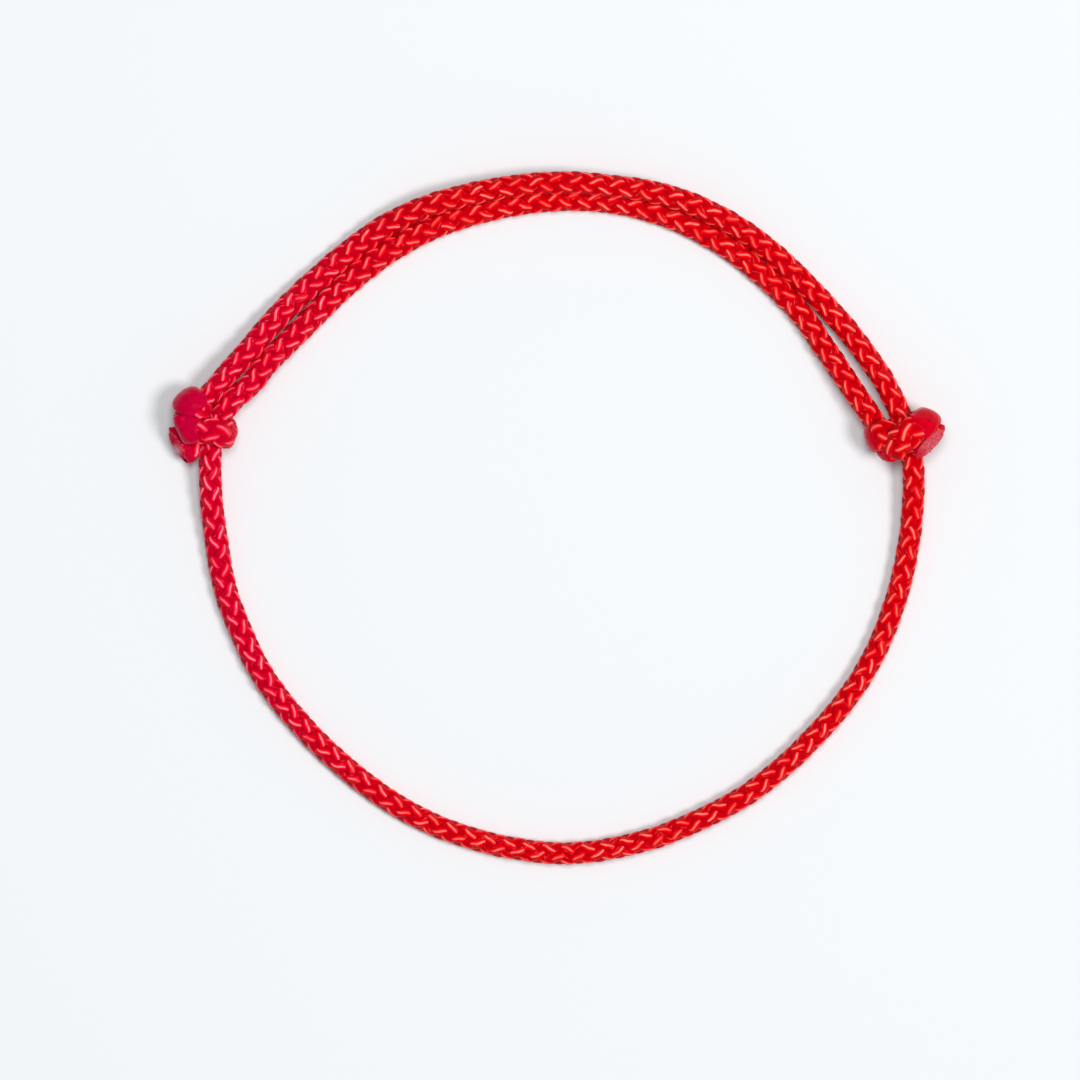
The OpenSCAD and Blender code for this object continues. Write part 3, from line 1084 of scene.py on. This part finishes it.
@dataclass
class Strand:
    """One stretch of the braided cord from knot to knot."""

    node: str
    begin: float
    end: float

    def build(self, path: CordPath, braid: Braid, finish: bpy.types.Material,
              knots: Sequence[bpy.types.Object]) -> bpy.types.Object:
        """Make the stretch and dress it.

        Args:
            path: The cord's path.
            braid: The cord's make.
            finish: The cord's material.
            knots: Not used.

        Returns:
            The finished piece.
        """
        piece = braid.mesh(f"{self.node}_braid", path, self.begin, self.end)
        dress(piece, finish, "braided_cord", self.node)
        return piece


@dataclass
class Knot:
    """One overhand knot of the flattened cord, and its cut end."""

    side: Side
    begin: float
    end: float
    cut: CutPlane
    melted: "Tuple[MeltedPatch, ...]"

    @property
    def node(self) -> str:
        """Return the knot's CAD node."""
        return f"{self.side.value}_knot"

    def build(self, path: CordPath, braid: Braid, finish: bpy.types.Material) -> bpy.types.Object:
        """Make the knot's cord and dress it.

        Args:
            path: The cord's path.
            braid: The cord's make.
            finish: The cord's material.

        Returns:
            The finished piece.
        """
        piece = braid.mesh(f"{self.node}_braid", path, self.begin, self.end, self.cut, self.melted)
        dress(piece, finish, "braided_cord", self.node)
        return piece


@dataclass(frozen=True)
class MeltedPatch:
    """A stretch of a knot's cord whose yarns ran together when its end was melted."""

    begin: float
    end: float
    fade: float = 0.7
    full: float = 1.11
    # The way that the patch looks, how far it reaches round the cord and how soft its border is
    faces: Tuple[float, float, float] = (0.0, 0.0, 0.0)
    reach_round: float = 0.35
    border_round: float = 0.7
    # How far the yarns sink beyond each end of the patch, and over what length
    press_beyond: float = 0.5
    press_fade: float = 0.6
    # The wide and the high side that a patch widens to at a cut end, over what length and how steeply
    flare: Tuple[float, float] = (0.0, 0.0)
    flare_long: float = 1.0
    flare_power: float = 1.3
    # Each ripple of the skin: height, waves round the cord, radians to a millimetre along it and shift
    ripples: Tuple[Tuple[float, int, float, float], ...] = (
        (0.012, 5, 2.1, 0), (0.014, 3, -3.4, 1), (0.008, 9, 5.3, 2))
    sunk: float = 0.55
    step: float = 0.12
    corners: int = 48

    def rings(self, path: CordPath, cut: CutPlane) -> Tuple[np.ndarray, np.ndarray]:
        """Shape the skin: proud of the yarns where they melted, and sunk among them at its borders.

        Args:
            path: The cord's path.
            cut: The plane of the nearby cut end.

        Returns:
            The points in millimetres, rings by corners by three, and each ring's length along the cord.
        """
        starts_at_cut = abs(self.begin - cut.at) < SAME_PLACE
        ends_at_cut = abs(self.end - cut.at) < SAME_PLACE
        low = self.begin if starts_at_cut else self.begin - self.fade
        high = self.end if ends_at_cut else self.end + self.fade
        along = np.linspace(low, high, max(6, int((high - low) / self.step)))
        theta = 2 * np.pi * np.arange(self.corners) / self.corners
        cover = np.ones_like(along)
        if low < self.begin:
            cover *= self.eased((along - low) / self.fade)
        if high > self.end:
            cover *= self.eased((high - along) / self.fade)
        s, phi = np.meshgrid(along, theta, indexing="ij")
        ripple = sum(size * np.sin(waves * phi + twist * s + shift)
                     for size, waves, twist, shift in self.ripples)
        mask = cover[:, None] * np.ones_like(phi)
        x, y, flat_s = np.cos(phi).ravel(), np.sin(phi).ravel(), s.ravel()
        if any(self.faces):
            mask = mask * self.facing(path, np.column_stack([x, y, flat_s])).reshape(s.shape)
        radius = self.sunk + (self.full - self.sunk + ripple) * mask
        if any(self.flare):
            radius = radius * self.flared(path, cut, s, phi)
        x, y = (radius * np.cos(phi)).ravel(), (radius * np.sin(phi)).ravel()
        straight = np.column_stack([x, y, flat_s])
        lengths = cut.trimmed(path, straight) if starts_at_cut or ends_at_cut else flat_s
        return path.place(x, y, lengths).reshape(s.shape + (3,)), along

    def facing(self, path: CordPath, points: np.ndarray) -> np.ndarray:
        """Say how far points of the cord's outside look the way that the patch does.

        Args:
            path: The cord's path.
            points: Points on the straight cord, one to a line.

        Returns:
            From 0, away from it, to 1.
        """
        x, y, along = points.T
        middle = path.place(np.zeros_like(x), np.zeros_like(x), along)
        out = path.place(x, y, along) - middle
        out /= np.linalg.norm(out, axis=1)[:, None]
        towards = out @ (np.array(self.faces) / np.linalg.norm(self.faces))
        return self.eased((towards + self.reach_round) / self.border_round)

    def cover(self, path: CordPath, points: np.ndarray) -> np.ndarray:
        """Say how deep points of the straight cord lie under the patch.

        Args:
            path: The cord's path.
            points: Points on the straight cord, one to a line.

        Returns:
            From 0, beside it, to 1.
        """
        along = points[:, 2]
        share = self.eased(np.minimum(along - self.begin + self.press_beyond,
                                      self.end + self.press_beyond - along) / self.press_fade)
        under = share > 0
        if any(self.faces) and under.any():
            share[under] *= self.facing(path, points[under])
        return share

    @staticmethod
    def eased(share: np.ndarray) -> np.ndarray:
        """Return a smooth step from 0 to 1."""
        share = np.clip(share, 0, 1)
        return share * share * (3 - 2 * share)

    def flared(self, path: CordPath, cut: CutPlane, s: np.ndarray, phi: np.ndarray) -> np.ndarray:
        """Widen the skin towards the melted face that it ends in.

        Args:
            path: The cord's path.
            cut: The plane of the face.
            s: Lengths along the cord.
            phi: Angles round it.

        Returns:
            For each point, how many times further out it goes.
        """
        index = np.clip((s / path.spacing).astype(int), 0, len(path.places) - 1)
        normal, side, tangent = path.normals[index], path.sides[index], path.tangents[index]
        other = np.cross(tangent, normal)
        around = np.cos(phi)[..., None] * normal + np.sin(phi)[..., None] * other
        sideways = np.sum(around * side, axis=2)
        upwards = np.sqrt(np.maximum(0, 1 - sideways ** 2))
        stretch = path.wides[index] / CORD_D
        wide, high = self.flare
        reach = 1 / np.sqrt((sideways * stretch / (wide / 2)) ** 2
                            + (upwards / stretch / (high / 2)) ** 2)
        share = self.eased(1 - np.abs(s - cut.at) / self.flare_long) ** self.flare_power
        return 1 + (np.maximum(reach / self.full, 1) - 1) * share


@dataclass
class MeltedSkin:
    """The melted places of one knot's cord, as one closed skin each."""

    side: Side
    patches: Tuple[MeltedPatch, ...]

    def build(self, path: CordPath, cut: CutPlane, finish: bpy.types.Material) -> bpy.types.Object:
        """Make the skins and dress them.

        Args:
            path: The cord's path.
            cut: The plane of the nearby cut end.
            finish: The material of melted nylon.

        Returns:
            The finished piece.
        """
        builder = TubeBuilder()
        for patch in self.patches:
            rings, along = patch.rings(path, cut)
            flat = rings.shape[:2]
            builder.add(rings * MM, np.ones(flat), np.full(flat + (3,), OFF_FLOAT), along - along[0])
        piece = builder.build(f"{self.side.value}_melted_skin")
        dress(piece, finish, "braided_cord")
        return piece


@dataclass
class SealedEnd:
    """The cord's cut end, melted to a flat oval with a mushroomed rim."""

    side: Side
    route: Route
    turn: float
    tilt: float
    wide: float
    high: float
    thick: float = 0.45
    rim_ticks: float = 36.0
    corners: int = 32
    looks_up: float = 0.9
    brim: Tuple[float, float, float] = (0.93, 0.9, 1)
    # Each step from the brim to the middle of the face: how far in, and how far up
    steps: Tuple[Tuple[float, float], ...] = ((0.16, 0.03), (0.16, -0.09), (0.3, -0.03))
    wrinkle_wide: float = 0.35
    wrinkle_deep: float = 0.16

    def outward(self) -> np.ndarray:
        """Work out the way that the face looks.

        Returns:
            A unit vector.
        """
        turn, tilt = math.radians(self.turn), math.radians(self.tilt)
        flat = math.cos(tilt)
        return np.array([math.cos(turn) * flat, math.sin(turn) * flat, math.sin(tilt)])

    def middle(self) -> np.ndarray:
        """Return the middle of the face's inner side, in millimetres."""
        x, y, lift, wide = self.route[-1][:4]
        return np.array([x, y, lift + CORD_D * CORD_D / wide / 2])

    def cut(self, at: float) -> CutPlane:
        """Return the plane that trims the cord against this face."""
        return CutPlane(self.middle(), self.outward(), at)

    def build(self, finish: bpy.types.Material) -> bpy.types.Object:
        """Model the melted face and dress it.

        Args:
            finish: The material of the cut fibres.

        Returns:
            The finished piece.
        """
        out = Vector(self.outward())
        across = Vector((-math.sin(math.radians(self.turn)), math.cos(math.radians(self.turn)), 0))
        up = out.cross(across)
        turned = Matrix((across, up, out)).transposed().to_4x4()
        middle = Vector(self.middle()) + out * self.thick / 2
        deselect_all()
        bpy.ops.mesh.primitive_cylinder_add(vertices=self.corners, radius=0.5 * MM, depth=MM,
                                            end_fill_type="NGON")
        piece = bpy.context.object
        piece.name = piece.data.name = f"{self.side.value}_melted_face"
        bpy.ops.object.mode_set(mode="EDIT")
        bpy.ops.mesh.select_all(action="SELECT")
        bpy.ops.transform.resize(value=(self.wide, self.high, self.thick))
        bpy.ops.object.mode_set(mode="OBJECT")
        for polygon in piece.data.polygons:
            polygon.select = polygon.normal.z > self.looks_up
        bpy.ops.object.mode_set(mode="EDIT")
        # The melt swells over the rim and sinks a little in the middle.
        bpy.ops.transform.resize(value=self.brim)
        for inwards, upwards in self.steps:
            bpy.ops.mesh.inset(thickness=inwards * MM, depth=upwards * MM)
        bpy.ops.mesh.poke()
        bpy.ops.object.mode_set(mode="OBJECT")
        rounding = piece.modifiers.new("rounding", "SUBSURF")
        rounding.levels = rounding.render_levels = 2
        bpy.ops.object.modifier_apply(modifier="rounding")
        wrinkles = bpy.data.textures.new(f"{piece.name}_wrinkles", "CLOUDS")
        wrinkles.noise_scale = self.wrinkle_wide * MM
        uneven = piece.modifiers.new("uneven", "DISPLACE")
        uneven.texture = wrinkles
        uneven.strength = self.wrinkle_deep * MM
        uneven.mid_level = 0.5
        bpy.ops.object.modifier_apply(modifier="uneven")
        bpy.data.textures.remove(wrinkles)
        self.mark_rim(piece)
        piece.data.transform(Matrix.Translation(middle * MM) @ turned)
        piece.data.update()
        bpy.ops.object.shade_smooth()
        dress(piece, finish, "melted_end", f"{self.side.value}_sealed_end")
        return piece

    def mark_rim(self, piece: bpy.types.Object) -> None:
        """Note each point's way round the face and how near the rim it is, for the fan of fibres.

        Args:
            piece: The face, still at the origin and looking up.
        """
        flat = np.array([vertex.co[:2] for vertex in piece.data.vertices]) / MM
        flat = flat / (self.wide / 2, self.high / 2)
        reach = np.linalg.norm(flat, axis=1)
        ways = flat / np.maximum(reach, 0.01)[:, None] * self.rim_ticks / (2 * math.pi)
        attribute = piece.data.attributes.new("rim", "FLOAT_COLOR", "POINT")
        marks = np.column_stack([ways + self.rim_ticks, np.full(len(reach), 0.5), reach])
        attribute.data.foreach_set("color", marks.astype(np.float32).reshape(-1))


@dataclass(frozen=True)
class Lamp:
    """One soft round light that looks at the bracelet.

    Where it hangs is in degrees from +X towards +Y and above the floor, with sizes in metres, power in
    watts and a linear colour.
    """

    name: str
    turn: float
    rise: float
    away: float
    size: float
    watts: float
    colour: Tuple[float, float, float]

    def hang(self) -> None:
        """Put the light in the scene."""
        turn, rise = math.radians(self.turn), math.radians(self.rise)
        flat = math.cos(rise)
        place = Vector((math.cos(turn) * flat, math.sin(turn) * flat, math.sin(rise))) * self.away
        data = bpy.data.lights.new(self.name, "AREA")
        data.shape = "DISK"
        data.size = self.size
        data.energy = self.watts
        data.color = self.colour
        made = bpy.data.objects.new(self.name, data)
        made.location = place
        made.rotation_euler = (-place).to_track_quat("-Z", "Y").to_euler()
        bpy.context.scene.collection.objects.link(made)


@dataclass
class Studio:
    """A pale board, a key light, a light overhead, a pale room and a camera that looks straight down."""

    view_middle: Tuple[float, float] = (-1.5, -2.3)
    view_wide: float = 108.0
    camera_height: float = 1.0
    sensor: float = 36.0
    camera_sees: Tuple[float, float] = (0.01, 10.0)
    board: float = 1.2
    lamps: Tuple[Lamp, ...] = (
        Lamp("key_softbox", turn=-14, rise=61, away=1.5, size=0.465, watts=13.0,
             colour=(1.0, 0.96, 0.96)),
        Lamp("top_softbox", turn=90, rise=80, away=0.7, size=0.25, watts=2.35,
             colour=(0.94, 1.0, 1.0)))
    room_colour: str = "#ecf6fc"
    room_strength: float = 0.34

    def camera(self) -> bpy.types.Object:
        """Set up the camera.

        Returns:
            The camera, made the scene's own.
        """
        deselect_all()
        bpy.ops.object.camera_add(
            location=(self.view_middle[0] * MM, self.view_middle[1] * MM, self.camera_height),
            rotation=(0, 0, 0))
        made = bpy.context.object
        made.name = "photo_camera"
        made.data.sensor_width = self.sensor
        made.data.lens = self.sensor * self.camera_height / (self.view_wide * MM)
        made.data.clip_start, made.data.clip_end = self.camera_sees
        bpy.context.scene.camera = made
        return made

    def floor(self, finish: bpy.types.Material) -> bpy.types.Object:
        """Lay the board that the bracelet rests on.

        Args:
            finish: The board's material.

        Returns:
            The board.
        """
        deselect_all()
        bpy.ops.mesh.primitive_plane_add(size=self.board, location=(0, 0, 0))
        made = bpy.context.object
        made.name = made.data.name = "pale_floor"
        made.data.materials.append(finish)
        return made

    def lights(self) -> None:
        """Hang the lamps and set the room's own light."""
        for lamp in self.lamps:
            lamp.hang()
        world = bpy.data.worlds.new("pale_room")
        bpy.context.scene.world = world
        world.use_nodes = True
        back = world.node_tree.nodes["Background"]
        back.inputs["Color"].default_value = linear_colour(self.room_colour)
        back.inputs["Strength"].default_value = self.room_strength
        bpy.context.scene.view_settings.view_transform = "Standard"


def main() -> None:
    """Build the studio and the bracelet piece by piece."""
    logging.basicConfig(level=logging.INFO, format="%(name)s: %(message)s")
    studio = Studio()
    studio.camera()
    path = CordPath()
    braid = Braid()
    cord_finish = BraidedNylon().make()
    end_finishes = {
        Side.LEFT: CutFibres(
            name="cut_fibres_left", body="#c40030", tips="#ffd2de", patch_mm=(-37.9, 6.5),
            patch_reach_mm=1.0, patch_least=0.0, skin="#bc0028", skin_mm=(-36.6, 5.7),
            skin_reach_mm=1.3, speck_at=(0.28, NOISE_HIGH), tick_strength=0.25).make(),
        Side.RIGHT: CutFibres(
            name="cut_fibres_right", body="#c42a3c", tips="#e88e96", patch_mm=(38.0, 6.9),
            patch_reach_mm=2.6, patch_least=0.35, skin="#c01830", skin_mm=(36.2, 6.2),
            skin_reach_mm=1.2, tick_strength=0.4).make()}
    cut_left, left_seam, right_low, left_low, right_seam, cut_right = path.seams
    left_end = SealedEnd(Side.LEFT, LEFT_KNOT_ROUTE, turn=210, tilt=28, wide=3.45, high=2.1)
    right_end = SealedEnd(Side.RIGHT, RIGHT_KNOT_ROUTE, turn=316, tilt=40, wide=4.3, high=2.2)
    left_melted = (
        MeltedPatch(begin=cut_left, end=cut_left + 0.4, flare=(3.1, 1.9)),
        MeltedPatch(begin=cut_left + 5.7, end=cut_left + 8.8),
        MeltedPatch(begin=left_seam - 8.6, end=left_seam - 4.6))
    right_melted = (
        MeltedPatch(begin=cut_right - 0.4, end=cut_right, flare=(4.2, 1.9)),
        MeltedPatch(begin=right_seam + 9.2, end=right_seam + 12.2),
        MeltedPatch(begin=cut_right - 9.0, end=cut_right - 5.6, faces=(-1.0, -0.35, 0.2)),
        MeltedPatch(begin=right_seam + 3.6, end=right_seam + 5.2, faces=(0.1, -1.0, 0.3),
                    reach_round=0.1))
    knots = [
        Knot(Side.LEFT, cut_left, left_seam, left_end.cut(cut_left), left_melted[1:]).build(
            path, braid, cord_finish),
        Knot(Side.RIGHT, right_seam, cut_right, right_end.cut(cut_right), right_melted[1:]).build(
            path, braid, cord_finish)]
    for knot in knots:
        log.info("%s: %d faces", knot.name, len(knot.data.polygons))
    for node, begin, end in (
            ("outer_strand", left_seam, right_low),
            ("lower_strand", right_low, left_low),
            ("inner_strand", left_low, right_seam)):
        piece = Strand(node, begin, end).build(path, braid, cord_finish, knots)
        log.info("%s: %.1f mm of cord, %d faces", piece.name, end - begin, len(piece.data.polygons))
    skin_finish = MeltedNylon().make()
    left_skin = MeltedSkin(Side.LEFT, left_melted)
    right_skin = MeltedSkin(Side.RIGHT, right_melted)
    for skin, sealed, cut in ((left_skin, left_end, left_end.cut(cut_left)),
                              (right_skin, right_end, right_end.cut(cut_right))):
        for piece in (skin.build(path, cut, skin_finish), sealed.build(end_finishes[sealed.side])):
            log.info("%s: %d faces", piece.name, len(piece.data.polygons))
    studio.floor(PaleBoard().make())
    studio.lights()


if __name__ == "__main__":
    main()
